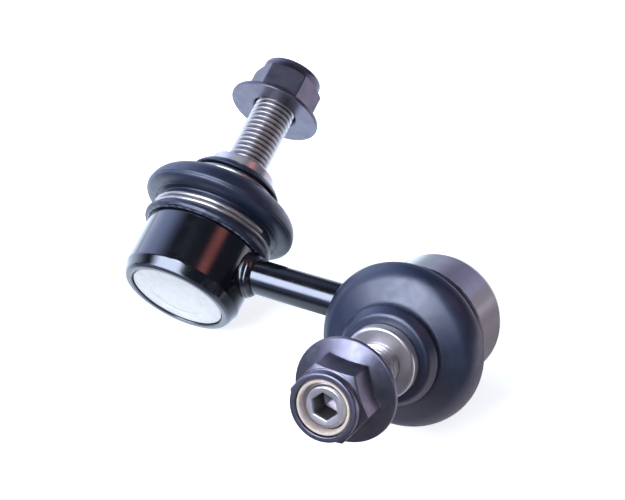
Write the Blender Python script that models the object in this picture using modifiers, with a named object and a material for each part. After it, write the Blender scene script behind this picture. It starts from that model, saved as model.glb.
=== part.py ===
"""Short stabilizer link: a round rod with a ball joint welded on at each end.

The rod lies along X. The two joints point to opposite sides, +Y and -Y, and lean up by
the same angle, so the link looks the same after half a turn about its upright middle line.
Only nut A stands further out than nut B, and the origin is the middle of the footprint
with the nuts as they are. Every piece of a joint is drawn about the joint's own axis: its Z
runs from the ball's centre, on the rod's centre line, out along the threaded stud. Lengths
are metres.
"""

import math

import bmesh
import bpy

# Link
LINK_LENGTH = 0.057
STUD_RISE = math.radians(20.75)
ROD_RADIUS = 0.004
ROD_OVERRUN = 0.0012
GAP = 0.0003
EDGE = 0.0003
SEGMENTS = 28
FINE_SEGMENTS = 20
COARSE_SEGMENTS = 16

# Ball stud, heights from the ball's centre
BALL_RADIUS = 0.008
BALL_FLAT_RADIUS = 0.004
NECK_RADIUS = 0.0046
NECK_TOP = 0.0134
JOURNAL_RADIUS = 0.0065
JOURNAL_START = 0.0182
COLLAR_RADIUS = 0.0079
COLLAR_THICKNESS = 0.0027
COLLAR_EDGE = 0.0005
SHANK_RADIUS = 0.0050
SHANK_LENGTH = 0.0021
THREAD_RADIUS = 0.0049
THREAD_DEPTH = 0.0007
THREAD_PITCH = 0.00125
THREAD_LENGTH = 0.0252
THREAD_SEGMENTS = 14
STUD_END_CHAMFER = 0.0010
SOCKET_ACROSS_FLATS = 0.005
SOCKET_DEPTH = 0.005
SOCKET_TURN = math.radians(46.0)

# Plastic bearing seat
SEAT_WALL = 0.002
SEAT_FLOOR = 0.0012
SEAT_MOUTH_RADIUS = 0.0071
SEAT_TAPER = 0.0025

# Steel ball housing
HOUSING_WALL = 0.0034
SHOULDER_HEIGHT = 0.0042
NECK_WALL_RADIUS = 0.0106
NECK_LIP = 0.0006
NECK_LIP_THICKNESS = 0.0008
NECK_HEIGHT = 0.0054
MOUTH_STEP = 0.0004
MOUTH_FLARE = 0.0014
CRIMP_WALL = 0.0008
CRIMP_THICKNESS = 0.0008
CRIMP_EDGE = 0.0005
CHAMFER_HEIGHT = 0.0028

# End cap
CAP_RADIUS = 0.011
CAP_FLANGE = 0.001
CAP_FLANGE_THICKNESS = 0.0013
CAP_BOSS_HEIGHT = 0.0007
CAP_PANEL_RADIUS = 0.0069
CAP_PANEL_DEPTH = 0.0002

# Rubber dust boot
BOOT_FLARE = 0.0010
BOOT_LIP_HEIGHT = 0.0028
BOOT_BEAD_WALL = 0.0009
BOOT_WALL = 0.0016
BULGE_CENTRE_RADIUS = 0.01321
BULGE_RADIUS = 0.00509
BULGE_RISE = 0.0016
UNDERSIDE_REACH = 0.0030
UNDERSIDE_TURNS = (math.radians(35.0), math.radians(65.0))
CREASE_DROP = 0.0006
BOOT_TOP_RADIUS = 0.0097
BOOT_TOP_LIP_RADIUS = 0.0109
BOOT_TOP_LIP_HEIGHT = 0.00225
RING_GROOVE_RADIUS = 0.0092
RING_FLOOR = 0.00075

# Spring wire clips
CLIP_WIRE_RADIUS = 0.00058
CLIP_TURNS = 2
CLIP_CROSSOVER = math.radians(24.0)
CLIP_START = math.radians(6.0)
RING_WIRE_RADIUS = 0.00065
RING_OPENING = math.radians(14.0)
RING_START = math.radians(100.0)
WIRE_STEPS = 18

# Flange nut, heights from its bearing face, depths from its top
NUT_OVERHANG = {"a": 0.0032, "b": 0.0010}
FLANGE_RADIUS = 0.01105
FLANGE_EDGE = 0.001
FLANGE_CONE_HEIGHT = 0.0026
NUT_ACROSS_FLATS = 0.0148
NUT_COLLAR_STAND = 0.0016
HEX_CHAMFER = math.radians(30.0)
NUT_COLLAR_RADIUS = 0.0071
NUT_HEIGHT = 0.0112
NUT_COLLAR_ROUND = 0.0006
NUT_LEAD_IN = 0.0005
NUT_ROLL_THICKNESS = 0.0007
INSERT_RADIUS = 0.0060
INSERT_TOP_RADIUS = 0.0057
INSERT_THICKNESS = 0.0019
HEX_TURN = {"a": math.radians(16.0), "b": math.radians(-3.0)}

# Weld bead between the rod and a housing
BEAD_ROOT_RADIUS = 0.0060
BEAD_TOE_RADIUS = 0.0048
BEAD_LENGTH = 0.0030
BEAD_SHOULDERS = (0.3, 0.65)
BEAD_OVERRUN = 0.0021

# Values that follow from those above
seat_inner = BALL_RADIUS + GAP
seat_outer = seat_inner + SEAT_WALL
bore_radius = seat_outer + GAP
housing_radius = bore_radius + HOUSING_WALL
ball_flat_height = -math.sqrt(BALL_RADIUS**2 - BALL_FLAT_RADIUS**2)
seat_bottom = ball_flat_height - SEAT_FLOOR
seat_top = math.sqrt(seat_inner**2 - SEAT_MOUTH_RADIUS**2)
cap_top = seat_bottom - GAP
cap_flange_bottom = cap_top - CAP_FLANGE_THICKNESS
cap_face = cap_flange_bottom - CAP_BOSS_HEIGHT
crimp_inner_face = cap_flange_bottom - GAP
crimp_face = crimp_inner_face - CRIMP_THICKNESS
recess_radius = CAP_RADIUS + CAP_FLANGE + GAP
crimp_radius = recess_radius + CRIMP_WALL
neck_top = SHOULDER_HEIGHT + NECK_HEIGHT
neck_lip_radius = NECK_WALL_RADIUS + NECK_LIP
clip_seat_radius = neck_lip_radius + GAP + BOOT_BEAD_WALL
boot_bottom = SHOULDER_HEIGHT + GAP
boot_lip_top = boot_bottom + BOOT_LIP_HEIGHT
clip_ring_radius = clip_seat_radius + GAP + CLIP_WIRE_RADIUS
clip_base = boot_lip_top + GAP + CLIP_WIRE_RADIUS
clip_pitch = 2.0 * CLIP_WIRE_RADIUS + GAP
clip_top = clip_base + (CLIP_TURNS - 1) * clip_pitch + CLIP_WIRE_RADIUS
bulge_bottom = clip_top + GAP
bulge_height = bulge_bottom + BULGE_RISE
ring_ring_radius = RING_GROOVE_RADIUS + GAP + RING_WIRE_RADIUS
ring_groove_bottom = bulge_height + BULGE_RADIUS + RING_FLOOR
ring_height = ring_groove_bottom + GAP + RING_WIRE_RADIUS
top_lip_bottom = ring_height + RING_WIRE_RADIUS + GAP
boot_top = top_lip_bottom + BOOT_TOP_LIP_HEIGHT
collar_bottom = boot_top + GAP
collar_top = collar_bottom + COLLAR_THICKNESS
stud_end = collar_top + THREAD_LENGTH
thread_start = THREAD_PITCH * math.floor(collar_top / THREAD_PITCH)
thread_turns = math.ceil((stud_end - thread_start) / THREAD_PITCH) + 1
nut_bore_radius = THREAD_RADIUS + GAP
nut_place = {side: stud_end + over - NUT_HEIGHT for side, over in NUT_OVERHANG.items()}
hex_corner = NUT_ACROSS_FLATS / 2.0 / math.cos(math.radians(30.0))
hex_top = NUT_HEIGHT - NUT_COLLAR_STAND
insert_roof = NUT_HEIGHT - NUT_ROLL_THICKNESS
insert_floor = insert_roof - INSERT_THICKNESS - 2.0 * GAP
rod_shift = (NUT_OVERHANG["b"] - NUT_OVERHANG["a"]) * math.cos(STUD_RISE) / 2.0
rod_height = max(
    radius * math.cos(STUD_RISE) - height * math.sin(STUD_RISE)
    for radius, height in (
        (crimp_radius, crimp_face + CRIMP_EDGE),
        (housing_radius, crimp_face + CHAMFER_HEIGHT),
        (crimp_radius - CRIMP_EDGE, crimp_face),
    )
)


def clear_scene():
    for obj in list(bpy.data.objects):
        bpy.data.objects.remove(obj)


def collection(name):
    made = bpy.data.collections.new(name)
    bpy.context.scene.collection.children.link(made)
    return made


def material(name, colour, metallic, roughness):
    made = bpy.data.materials.new(name)
    made.use_nodes = True
    shader = made.node_tree.nodes["Principled BSDF"]
    shader.inputs["Base Color"].default_value = (*colour, 1.0)
    shader.inputs["Metallic"].default_value = metallic
    shader.inputs["Roughness"].default_value = roughness
    return made


def add_object(name, data, frame, look):
    """A named object in the link's collection, hung on its frame. A look of None makes a cutter."""
    obj = bpy.data.objects.new(name, data)
    obj.parent = frame
    if look is None:
        tools.objects.link(obj)
        obj.hide_render = True
        obj.display_type = "WIRE"
    else:
        link.objects.link(obj)
        obj.data.materials.append(material(name, *look))
    return obj


def add_frame(name, location, rotation):
    frame = bpy.data.objects.new(name, None)
    frame.location = location
    frame.rotation_euler = rotation
    link.objects.link(frame)
    return frame


def arc(centre, radius, first, last, steps):
    """Points of an arc about centre (radius, height), from angle first to last in degrees."""
    turns = [math.radians(first + (last - first) * i / steps) for i in range(steps + 1)]
    return [(centre[0] + radius * math.cos(t), centre[1] + radius * math.sin(t)) for t in turns]


def turned(name, outline, frame, look, segments=SEGMENTS):
    """Turns an outline of (radius, height) points about the frame's Z.

    The outline runs down the outer side. One that starts and ends on the axis is solid,
    and any other is closed into a ring.
    """
    count = len(outline)
    edges = [(i, i + 1) for i in range(count - 1)]
    if outline[0][0] > 0.0:
        edges.append((count - 1, 0))
    mesh = bpy.data.meshes.new(name)
    mesh.from_pydata([(radius, 0.0, height) for radius, height in outline], edges, [])
    obj = add_object(name, mesh, frame, look)
    screw = obj.modifiers.new("Turn", "SCREW")
    screw.axis = "Z"
    screw.steps = screw.render_steps = segments
    screw.use_merge_vertices = True
    screw.merge_threshold = 0.000001
    screw.use_smooth_shade = True
    return obj


def boolean(obj, operation, other):
    cut = obj.modifiers.new(operation.title(), "BOOLEAN")
    cut.operation = operation
    cut.object = other
    return cut


def hexagon(name, across_flats, bottom, top, turn, frame):
    """A six-sided prism about the frame's Z, with a corner turned that far from X."""
    corner = across_flats / 2.0 / math.cos(math.radians(30.0))
    bpy.ops.mesh.primitive_cylinder_add(vertices=6, radius=corner, depth=top - bottom)
    made = bpy.context.active_object
    mesh = made.data
    bpy.data.objects.remove(made)
    obj = add_object(name, mesh, frame, None)
    obj.location = (0.0, 0.0, (top + bottom) / 2.0)
    first_corner = math.pi / 2.0
    obj.rotation_euler = (0.0, 0.0, turn - first_corner)
    return obj


def wire_coil(name, frame, look, ring_radius, wire_radius, path):
    """Round wire with cut ends, along a path of (angle, height) points about the frame's Z."""
    curve = bpy.data.curves.new(name, "CURVE")
    curve.dimensions = "3D"
    curve.bevel_depth = wire_radius
    curve.bevel_resolution = 2
    curve.use_fill_caps = True
    spline = curve.splines.new("POLY")
    spline.points.add(len(path) - 1)
    for point, (angle, height) in zip(spline.points, path):
        point.co = (ring_radius * math.cos(angle), ring_radius * math.sin(angle), height, 1.0)
    return add_object(name, curve, frame, look)


def level_turn(start, sweep, height):
    """Points of a turn that stays level, so that nothing under it is lifted."""
    return [(start + sweep * i / WIRE_STEPS, height) for i in range(WIRE_STEPS + 1)]


def rod():
    """The link's round bar. Its ends are hollowed to sit against the housings' round sides."""
    half = LINK_LENGTH / 2.0 - housing_radius + ROD_OVERRUN
    outline = [(0.0, half), (ROD_RADIUS, half), (ROD_RADIUS, -half), (0.0, -half)]
    bar = turned("link_rod", outline, rod_frame, BLACK_PAINT, FINE_SEGMENTS)
    for side in "ab":
        boolean(bar, "DIFFERENCE", envelopes[side])


def weld_bead(side):
    """The weld round the rod's end: a concave fillet that runs up to the housing's side."""
    wall = LINK_LENGTH / 2.0 - housing_radius
    root, toe = BEAD_ROOT_RADIUS, BEAD_TOE_RADIUS
    half_way = (root + toe) / 2.0
    inner = ROD_RADIUS + GAP
    outline = [
        (inner, wall + BEAD_OVERRUN),
        (root, wall + BEAD_OVERRUN),
        (root, wall),
        (half_way - EDGE, wall - BEAD_LENGTH * BEAD_SHOULDERS[0]),
        (toe, wall - BEAD_LENGTH * BEAD_SHOULDERS[1]),
        (toe, wall - BEAD_LENGTH + EDGE),
        (toe - EDGE, wall - BEAD_LENGTH),
        (inner, wall - BEAD_LENGTH),
    ]
    bead = turned("weld_bead_" + side, outline, bead_frames[side], WELD, COARSE_SEGMENTS)
    boolean(bead, "DIFFERENCE", envelopes[side])


def housing(side, frame):
    """Steel cup, bored from below for the seat, with its lower rim rolled in over the cap."""
    line = seat_outer + seat_top - SEAT_TAPER + math.sqrt(2.0) * GAP
    mouth = seat_outer - SEAT_TAPER + MOUTH_STEP
    outline = [
        (mouth + MOUTH_FLARE, neck_top),
        (neck_lip_radius, neck_top),
        (neck_lip_radius, neck_top - NECK_LIP_THICKNESS),
        (NECK_WALL_RADIUS, neck_top - NECK_LIP_THICKNESS - NECK_LIP),
        (NECK_WALL_RADIUS, SHOULDER_HEIGHT),
        (housing_radius - EDGE, SHOULDER_HEIGHT),
        (housing_radius, SHOULDER_HEIGHT - EDGE),
        (housing_radius, crimp_face + CHAMFER_HEIGHT),
        (crimp_radius, crimp_face + CRIMP_EDGE),
        (crimp_radius - CRIMP_EDGE, crimp_face),
        (CAP_RADIUS + GAP, crimp_face),
        (CAP_RADIUS + GAP, crimp_inner_face),
        (recess_radius, crimp_inner_face),
        (recess_radius, seat_bottom),
        (bore_radius, seat_bottom),
        (bore_radius, line - bore_radius),
        (mouth, line - mouth),
    ]
    turned("ball_housing_" + side, outline, frame, BLACK_PAINT)


def end_cap(side, frame):
    """Pressed steel disc with a stepped rim, which the housing's rolled edge holds."""
    outline = [
        (0.0, cap_top),
        (CAP_RADIUS + CAP_FLANGE, cap_top),
        (CAP_RADIUS + CAP_FLANGE, cap_flange_bottom),
        (CAP_RADIUS, cap_flange_bottom),
        (CAP_RADIUS, cap_face + EDGE),
        (CAP_RADIUS - EDGE, cap_face),
        (CAP_PANEL_RADIUS, cap_face),
        (CAP_PANEL_RADIUS - CAP_PANEL_DEPTH, cap_face + CAP_PANEL_DEPTH),
        (0.0, cap_face + CAP_PANEL_DEPTH),
    ]
    turned("end_cap_" + side, outline, frame, ZINC)


def bearing_seat(side, frame):
    """Plastic shell that wraps the ball from below its flat to above its middle."""
    hole = math.degrees(math.acos(BALL_FLAT_RADIUS / seat_inner))
    mouth = math.degrees(math.acos(SEAT_MOUTH_RADIUS / seat_inner))
    outline = [
        (seat_outer - SEAT_TAPER, seat_top),
        (seat_outer, seat_top - SEAT_TAPER),
        (seat_outer, seat_bottom),
        (BALL_FLAT_RADIUS, seat_bottom),
    ] + arc((0.0, 0.0), seat_inner, -hole, mouth, 5)
    turned("bearing_seat_" + side, outline, frame, SEAT_PLASTIC, COARSE_SEGMENTS)


def screw_thread(side, frame):
    """The stud's rolled thread: a tooth's two flanks wound up the shank, with a chamfered end."""
    root = THREAD_RADIUS - THREAD_DEPTH
    tooth = [
        (root, 0.0, thread_start + THREAD_PITCH),
        (THREAD_RADIUS, 0.0, thread_start + THREAD_PITCH / 2.0),
        (root, 0.0, thread_start),
    ]
    flanks = bpy.data.meshes.new("screw_thread_" + side)
    flanks.from_pydata(tooth, [(0, 1), (1, 2)], [])
    thread = add_object("screw_thread_" + side, flanks, frame, None)
    wind = thread.modifiers.new("Wind", "SCREW")
    wind.axis = "Z"
    wind.steps = wind.render_steps = THREAD_SEGMENTS
    wind.screw_offset = THREAD_PITCH
    wind.iterations = thread_turns
    close_ends(thread)
    blank = [
        (0.0, stud_end),
        (THREAD_RADIUS - STUD_END_CHAMFER, stud_end),
        (THREAD_RADIUS + GAP, stud_end - STUD_END_CHAMFER - GAP),
        (THREAD_RADIUS + GAP, thread_start - THREAD_PITCH),
        (0.0, thread_start - THREAD_PITCH),
    ]
    boolean(thread, "INTERSECT", turned("thread_blank_" + side, blank, frame, None, FINE_SEGMENTS))
    return thread


def close_ends(obj):
    """Applies an object's modifiers, merges the edges that meet, and fills its two open ends."""
    evaluated = obj.evaluated_get(bpy.context.evaluated_depsgraph_get())
    mesh = bpy.data.meshes.new_from_object(evaluated)
    work = bmesh.new()
    work.from_mesh(mesh)
    bmesh.ops.remove_doubles(work, verts=work.verts, dist=0.000001)
    bmesh.ops.holes_fill(work, edges=work.edges, sides=0)
    bmesh.ops.triangulate(work, faces=[face for face in work.faces if len(face.verts) > 4])
    bmesh.ops.recalc_face_normals(work, faces=work.faces)
    work.to_mesh(mesh)
    work.free()
    obj.modifiers.clear()
    obj.data = mesh


def ball_stud(side, frame):
    """Forged stud: ball, waisted neck, journal for the boot, collar, thread and hex socket."""
    neck = math.degrees(math.acos(NECK_RADIUS / BALL_RADIUS))
    flat = math.degrees(math.acos(BALL_FLAT_RADIUS / BALL_RADIUS))
    outline = [
        (0.0, collar_top + SHANK_LENGTH),
        (SHANK_RADIUS, collar_top + SHANK_LENGTH),
        (SHANK_RADIUS, collar_top),
        (COLLAR_RADIUS - COLLAR_EDGE, collar_top),
        (COLLAR_RADIUS, collar_top - COLLAR_EDGE),
        (COLLAR_RADIUS, collar_bottom + EDGE),
        (COLLAR_RADIUS - EDGE, collar_bottom),
        (JOURNAL_RADIUS, collar_bottom),
        (JOURNAL_RADIUS, JOURNAL_START),
        (NECK_RADIUS, NECK_TOP),
    ]
    outline += arc((0.0, 0.0), BALL_RADIUS, neck, -flat, 6) + [(0.0, ball_flat_height)]
    stud = turned("ball_stud_" + side, outline, frame, BRIGHT_STEEL, FINE_SEGMENTS)
    boolean(stud, "UNION", screw_thread(side, frame))
    socket = hexagon(
        "key_socket_" + side,
        SOCKET_ACROSS_FLATS,
        stud_end - SOCKET_DEPTH,
        stud_end + SOCKET_DEPTH,
        SOCKET_TURN,
        frame,
    )
    boolean(stud, "DIFFERENCE", socket)


def dust_boot(side, frame):
    """Rubber bellows: a bead in the housing's groove, one fat fold and a lip on the stud."""
    inner = NECK_WALL_RADIUS + GAP
    over_lip = neck_lip_radius + GAP
    step = neck_top - NECK_LIP_THICKNESS - NECK_LIP - GAP
    flare = housing_radius + BOOT_FLARE
    centre = (BULGE_CENTRE_RADIUS, bulge_height)
    crease = math.degrees(math.asin(CREASE_DROP / BULGE_RADIUS))
    grip = JOURNAL_RADIUS + GAP
    outline = [
        (grip, boot_top),
        (BOOT_TOP_RADIUS, boot_top),
        (BOOT_TOP_LIP_RADIUS, top_lip_bottom + EDGE),
        (BOOT_TOP_LIP_RADIUS, top_lip_bottom),
        (RING_GROOVE_RADIUS, top_lip_bottom),
        (RING_GROOVE_RADIUS, ring_groove_bottom),
        (RING_GROOVE_RADIUS + 2.0 * RING_WIRE_RADIUS, ring_groove_bottom),
    ]
    outline += arc(centre, BULGE_RADIUS, 90.0, -crease, 6)
    outline += [
        (
            BULGE_CENTRE_RADIUS + BULGE_RADIUS - UNDERSIDE_REACH * (1.0 - math.cos(turn)),
            bulge_height - BULGE_RISE * math.sin(turn),
        )
        for turn in UNDERSIDE_TURNS
    ]
    outline += [
        (clip_seat_radius, bulge_bottom),
        (clip_seat_radius, boot_lip_top),
        (flare - EDGE, boot_lip_top - EDGE),
        (flare, boot_bottom + EDGE),
        (flare - EDGE, boot_bottom),
        (inner, boot_bottom),
        (inner, step),
        (over_lip, step + NECK_LIP),
        (over_lip, bulge_bottom + BOOT_WALL),
    ]
    outline += arc(centre, BULGE_RADIUS - BOOT_WALL, 0.0, 90.0, 2)
    outline += [(grip, bulge_height + BULGE_RADIUS - BOOT_WALL + EDGE)]
    turned("dust_boot_" + side, outline, frame, RUBBER)


def flange_nut(side, frame):
    """Hexagon flange nut with a round collar rolled in over its nylon ring."""
    bottom = nut_place[side]
    crown_radius = hex_corner + EDGE
    chamfer_drop = (crown_radius - NUT_COLLAR_RADIUS) * math.tan(HEX_CHAMFER)
    lip_opening = INSERT_TOP_RADIUS + GAP
    outline = [
        (0.0, bottom + NUT_HEIGHT),
        (NUT_COLLAR_RADIUS - NUT_COLLAR_ROUND, bottom + NUT_HEIGHT),
        (NUT_COLLAR_RADIUS, bottom + NUT_HEIGHT - NUT_COLLAR_ROUND),
        (NUT_COLLAR_RADIUS, bottom + FLANGE_CONE_HEIGHT + EDGE),
        (hex_corner, bottom + FLANGE_CONE_HEIGHT),
        (FLANGE_RADIUS, bottom + FLANGE_EDGE),
        (FLANGE_RADIUS, bottom + EDGE),
        (FLANGE_RADIUS - EDGE, bottom),
        (0.0, bottom),
    ]
    nut = turned("flange_nut_" + side, outline, frame, PHOSPHATE)
    blank = hexagon(
        "hex_blank_" + side,
        NUT_ACROSS_FLATS,
        bottom + EDGE,
        bottom + hex_top + EDGE,
        HEX_TURN[side],
        frame,
    )
    crown = [
        (0.0, bottom + hex_top + EDGE * math.tan(HEX_CHAMFER)),
        (NUT_COLLAR_RADIUS - EDGE, bottom + hex_top + EDGE * math.tan(HEX_CHAMFER)),
        (crown_radius, bottom + hex_top - chamfer_drop),
        (crown_radius, bottom),
        (0.0, bottom),
    ]
    boolean(blank, "INTERSECT", turned("hex_crown_" + side, crown, frame, None))
    floor = bottom + insert_floor
    roof = bottom + insert_roof
    bore = [
        (0.0, bottom + NUT_HEIGHT + GAP),
        (lip_opening, bottom + NUT_HEIGHT + GAP),
        (lip_opening, roof),
        (INSERT_RADIUS + GAP, roof),
        (INSERT_RADIUS + GAP, floor),
        (nut_bore_radius, floor),
        (nut_bore_radius, bottom + NUT_LEAD_IN),
        (nut_bore_radius + NUT_LEAD_IN + GAP, bottom - GAP),
        (0.0, bottom - GAP),
    ]
    boolean(nut, "UNION", blank)
    boolean(nut, "DIFFERENCE", turned("nut_bore_" + side, bore, frame, None, FINE_SEGMENTS))


def nylon_insert(side, frame):
    """Nylon locking ring under the nut's rolled edge, with its middle standing up in it."""
    bottom = nut_place[side] + insert_floor + GAP
    shelf = bottom + INSERT_THICKNESS
    top = nut_place[side] + NUT_HEIGHT - GAP
    outline = [
        (nut_bore_radius, top),
        (INSERT_TOP_RADIUS, top),
        (INSERT_TOP_RADIUS, shelf),
        (INSERT_RADIUS, shelf),
        (INSERT_RADIUS, bottom),
        (nut_bore_radius, bottom),
    ]
    turned("nylon_insert_" + side, outline, frame, NYLON, FINE_SEGMENTS)


def boot_clip(side, frame):
    """Spring wire round the boot's lower lip: level turns, joined by short steps up."""
    full = 2.0 * math.pi
    path = []
    for turn in range(CLIP_TURNS):
        begin = CLIP_START + full * turn
        path += level_turn(begin, full - CLIP_CROSSOVER, clip_base + clip_pitch * turn)
    name = "boot_clip_" + side
    wire_coil(name, frame, SPRING_WIRE, clip_ring_radius, CLIP_WIRE_RADIUS, path)


def boot_ring(side, frame):
    """One open turn of spring wire under the boot's top lip."""
    path = level_turn(RING_START, 2.0 * math.pi - RING_OPENING, ring_height)
    name = "boot_ring_" + side
    wire_coil(name, frame, SPRING_WIRE, ring_ring_radius, RING_WIRE_RADIUS, path)


def joint(side, frame):
    housing(side, frame)
    end_cap(side, frame)
    bearing_seat(side, frame)
    ball_stud(side, frame)
    dust_boot(side, frame)
    boot_clip(side, frame)
    boot_ring(side, frame)
    flange_nut(side, frame)
    nylon_insert(side, frame)
    weld_bead(side)


# Colour, metallic and roughness of each finish
BLACK_PAINT = ((0.012, 0.013, 0.018), 0.0, 0.22)
WELD = ((0.02, 0.02, 0.025), 0.0, 0.35)
ZINC = ((0.80, 0.81, 0.83), 1.0, 0.35)
SEAT_PLASTIC = ((0.75, 0.74, 0.70), 0.0, 0.45)
BRIGHT_STEEL = ((0.72, 0.71, 0.73), 1.0, 0.22)
RUBBER = ((0.018, 0.020, 0.026), 0.0, 0.48)
SPRING_WIRE = ((0.78, 0.77, 0.76), 1.0, 0.20)
PHOSPHATE = ((0.06, 0.065, 0.085), 0.8, 0.42)
NYLON = ((0.86, 0.80, 0.70), 0.0, 0.40)

clear_scene()
link = collection("stabilizer_link")
tools = collection("cutters")

half_link = LINK_LENGTH / 2.0
lean = STUD_RISE - math.pi / 2.0
rod_frame = add_frame("rod_frame", (0.0, rod_shift, rod_height), (0.0, math.pi / 2.0, 0.0))
joint_frames = {
    "a": add_frame("joint_frame_a", (-half_link, rod_shift, rod_height), (lean, 0.0, 0.0)),
    "b": add_frame("joint_frame_b", (half_link, rod_shift, rod_height), (lean, 0.0, math.pi)),
}
bead_frames = {
    "a": add_frame("bead_frame_a", (0.0, rod_shift, rod_height), (0.0, -math.pi / 2.0, 0.0)),
    "b": add_frame("bead_frame_b", (0.0, rod_shift, rod_height), (0.0, math.pi / 2.0, 0.0)),
}

# Each housing's round side with the boot's lip above it, grown by the gap, shapes what meets it
envelopes = {}
for side, frame in joint_frames.items():
    reach = housing_radius + GAP
    lip_reach = housing_radius + BOOT_FLARE + GAP
    lip_floor = boot_bottom - GAP
    profile = [
        (0.0, reach),
        (lip_reach, reach),
        (lip_reach, lip_floor),
        (reach, lip_floor),
        (reach, -reach),
        (0.0, -reach),
    ]
    envelopes[side] = turned("joint_envelope_" + side, profile, frame, None, 2 * SEGMENTS)

rod()
joint("a", joint_frames["a"])
joint("b", joint_frames["b"])
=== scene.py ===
"""Studio picture of a short stabilizer link.

A black painted bar carries a ball joint at each end. The two joints point to opposite
sides, and each ends in a threaded stud with a flange lock nut. The pieces are worked out in
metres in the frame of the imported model, in the order in which a link is put together.
"""

import math

import bmesh
import bpy
import mathutils
import numpy as np
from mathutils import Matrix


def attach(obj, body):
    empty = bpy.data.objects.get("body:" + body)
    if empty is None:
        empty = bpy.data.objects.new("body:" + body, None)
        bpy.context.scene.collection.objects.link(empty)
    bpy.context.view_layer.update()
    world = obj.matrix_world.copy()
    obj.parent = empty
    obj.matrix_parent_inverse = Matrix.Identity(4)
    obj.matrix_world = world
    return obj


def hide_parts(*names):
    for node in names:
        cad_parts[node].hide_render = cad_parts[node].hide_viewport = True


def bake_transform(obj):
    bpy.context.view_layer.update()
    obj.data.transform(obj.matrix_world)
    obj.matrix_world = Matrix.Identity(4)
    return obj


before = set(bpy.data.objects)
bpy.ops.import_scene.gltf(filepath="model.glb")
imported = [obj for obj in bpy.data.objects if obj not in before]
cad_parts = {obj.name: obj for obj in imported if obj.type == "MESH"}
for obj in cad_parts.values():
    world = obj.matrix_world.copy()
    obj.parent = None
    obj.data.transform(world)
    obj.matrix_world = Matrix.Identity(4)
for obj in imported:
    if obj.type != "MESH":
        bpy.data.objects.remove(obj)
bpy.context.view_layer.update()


# Link rod: 8 mm drawn steel bar. Its ends are notched to sit against the round sides of the
# two ball housings, and it is painted gloss black together with them after welding.
ROD_RADIUS = 0.004
ROD_HEIGHT = 0.015936
ROD_SHIFT = -0.0010286
HALF_LINK = 0.0285
STUD_RISE = math.radians(20.75)
HOUSING_RADIUS = 0.014
BLACK = (0.0024, 0.0024, 0.0034)
DUST = (0.03, 0.03, 0.04)
FULL_TURN = 2.0 * math.pi

run, climb = math.cos(STUD_RISE), math.sin(STUD_RISE)
joints = {
    "a": {
        "centre": np.array([-HALF_LINK, ROD_SHIFT, ROD_HEIGHT]),
        "across": np.array([1.0, 0.0, 0.0]),
        "level": np.array([0.0, climb, -run]),
        "axis": np.array([0.0, run, climb]),
    },
    "b": {
        "centre": np.array([HALF_LINK, ROD_SHIFT, ROD_HEIGHT]),
        "across": np.array([-1.0, 0.0, 0.0]),
        "level": np.array([0.0, -climb, -run]),
        "axis": np.array([0.0, -run, climb]),
    },
}


def around_once(count):
    """Angles in so many equal steps round a circle, from 0 to just short of a full turn."""
    return np.linspace(0.0, FULL_TURN, count + 1)[:-1]


def skin(name, grid, ring=False, marks=None):
    """Mesh over a grid of points, its columns running round and meeting.

    Each quad joins a point to the next in its row and its column. For a ring the last row
    meets the first. The UV map holds metres round and metres along the surface. Rows that
    shrink to a point become a pole. marks are named numbers for each row or each point, kept
    as attributes.
    """
    rows, columns = grid.shape[:2]
    order = np.arange(rows * columns).reshape(rows, columns)
    if ring:
        order = np.vstack([order, order[:1]])
    order = np.hstack([order, order[:, :1]])
    quads = np.stack([order[:-1, :-1], order[:-1, 1:], order[1:, 1:], order[1:, :-1]], axis=-1)

    mesh = bpy.data.meshes.new(name)
    mesh.from_pydata(grid.reshape(-1, 3).tolist(), [], quads.reshape(-1, 4).tolist())

    closed = np.concatenate([grid, grid[:1]]) if ring else grid
    along = np.linalg.norm(np.diff(closed, axis=0), axis=2).mean(axis=1)
    along = np.concatenate([[0.0], np.cumsum(along)])
    girth = np.linalg.norm(np.diff(grid, axis=1), axis=2).sum(axis=1).mean()
    around = np.linspace(0.0, girth, columns + 1)
    u = np.broadcast_to(around, (len(along), columns + 1))
    v = np.broadcast_to(along[:, None], (len(along), columns + 1))
    uv = np.stack([u, v], axis=-1)
    corners = np.stack([uv[:-1, :-1], uv[:-1, 1:], uv[1:, 1:], uv[1:, :-1]], axis=2)
    mesh.uv_layers.new(name="surface").data.foreach_set("uv", corners.ravel())

    for label, values in (marks or {}).items():
        layer = mesh.attributes.new(label, "FLOAT", "POINT")
        spread = np.broadcast_to(np.reshape(values, (rows, -1)), (rows, columns))
        layer.data.foreach_set("value", spread.astype(np.float32).ravel())

    work = bmesh.new()
    work.from_mesh(mesh)
    bmesh.ops.remove_doubles(work, verts=work.verts, dist=1e-7)
    bmesh.ops.recalc_face_normals(work, faces=work.faces)
    work.to_mesh(mesh)
    work.free()
    mesh.shade_smooth()
    piece = bpy.data.objects.new(name, mesh)
    bpy.context.scene.collection.objects.link(piece)
    return piece


def finish_nodes(name):
    """A new material, and its node tree, shader and object coordinates."""
    look = bpy.data.materials.new(name)
    look.use_nodes = True
    tree = look.node_tree
    coordinates = tree.nodes.new("ShaderNodeTexCoord")
    return look, tree, tree.nodes["Principled BSDF"], coordinates.outputs["Object"]


def mottle(tree, place, scale, low, high, detail=3.0, start=0.35, end=0.65):
    """Noise of so many cells a metre, stretched from start..end to low..high."""
    noise = tree.nodes.new("ShaderNodeTexNoise")
    noise.inputs["Scale"].default_value = scale
    noise.inputs["Detail"].default_value = detail
    tree.links.new(place, noise.inputs["Vector"])
    spread = tree.nodes.new("ShaderNodeMapRange")
    spread.inputs["From Min"].default_value = start
    spread.inputs["From Max"].default_value = end
    spread.inputs["To Min"].default_value = low
    spread.inputs["To Max"].default_value = high
    tree.links.new(noise.outputs["Fac"], spread.inputs["Value"])
    return spread.outputs["Result"]


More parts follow.
